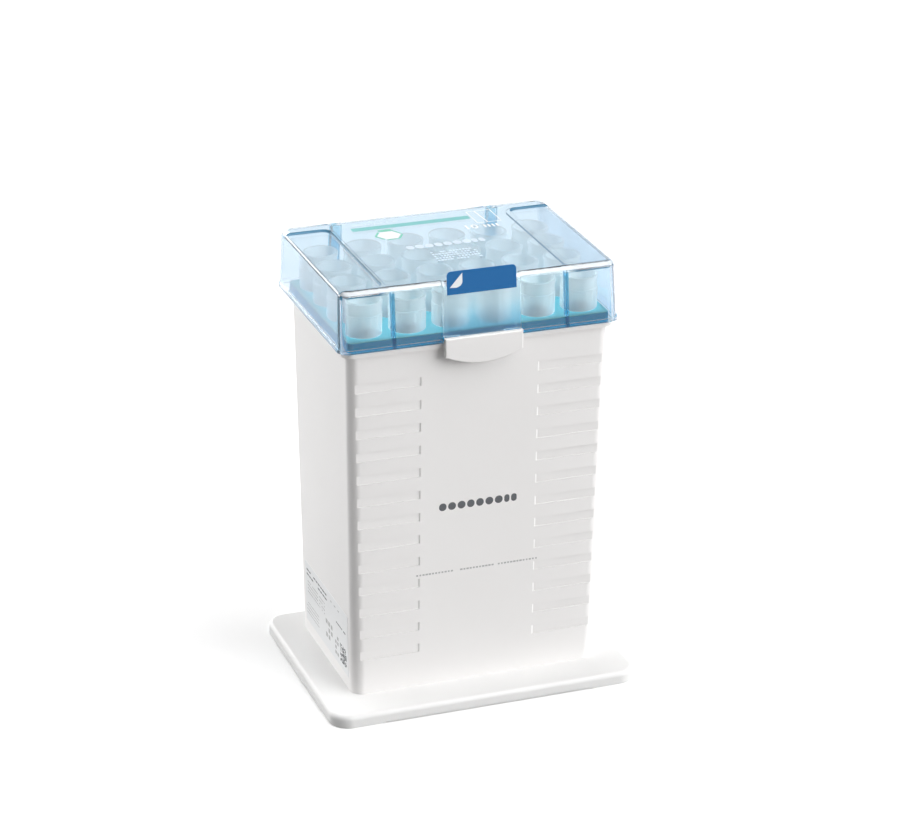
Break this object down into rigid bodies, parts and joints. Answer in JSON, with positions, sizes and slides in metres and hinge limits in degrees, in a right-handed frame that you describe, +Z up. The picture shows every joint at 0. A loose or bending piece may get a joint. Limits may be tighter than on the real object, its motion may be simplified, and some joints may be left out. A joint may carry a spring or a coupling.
{
  "type": "pipette tip rack box",
  "caption": "Free-standing rack box of long pipette tips: tapered body on a wide base plate, coloured tip tray and clear hinged lid with a front latch tab.",
  "frame": {"origin": "centre of the base plate's underside, at the height of the corner feet's faces", "axes": "+Z up along the tips; -Y to the front, where the latch tab is; +X to the right as seen from the front; the hinge line runs along X at the back"},
  "size_m": [0.142, 0.106, 0.199],
  "materials": {
    "white_plastic": "smooth moulded, semi-gloss",
    "grey_white_plastic": "smooth moulded, semi-gloss",
    "blue_tray_plastic": "fine satin",
    "clear_blue_plastic": "clear, polished",
    "tip_plastic": "translucent, polished",
    "blue_label": "satin printed film",
    "white_label": "satin printed film"
  },
  "bodies": {
    "rack": {"base_plate": "white_plastic", "rack_body": "grey_white_plastic", "tip_tray": "blue_tray_plastic", "side_label": "white_label", "tip_01": "tip_plastic", "tip_02": "tip_plastic", "tip_03": "tip_plastic", "tip_04": "tip_plastic", "tip_05": "tip_plastic", "tip_06": "tip_plastic", "tip_07": "tip_plastic", "tip_08": "tip_plastic", "tip_09": "tip_plastic", "tip_10": "tip_plastic", "tip_11": "tip_plastic", "tip_12": "tip_plastic", "tip_13": "tip_plastic", "tip_14": "tip_plastic", "tip_15": "tip_plastic", "tip_16": "tip_plastic", "tip_17": "tip_plastic", "tip_18": "tip_plastic", "tip_19": "tip_plastic", "tip_20": "tip_plastic", "tip_21": "tip_plastic", "tip_22": "tip_plastic", "tip_23": "tip_plastic", "tip_24": "tip_plastic"},
    "lid": {"lid": "clear_blue_plastic", "seal_label": "blue_label"}
  },
  "joints": [
    {"name": "lid_hinge", "type": "hinge", "parent": "rack", "child": "lid", "pos_m": [0, 0.0473, 0.166], "axis": [-1, 0, 0], "range_deg": [0, 110]}
  ]
}
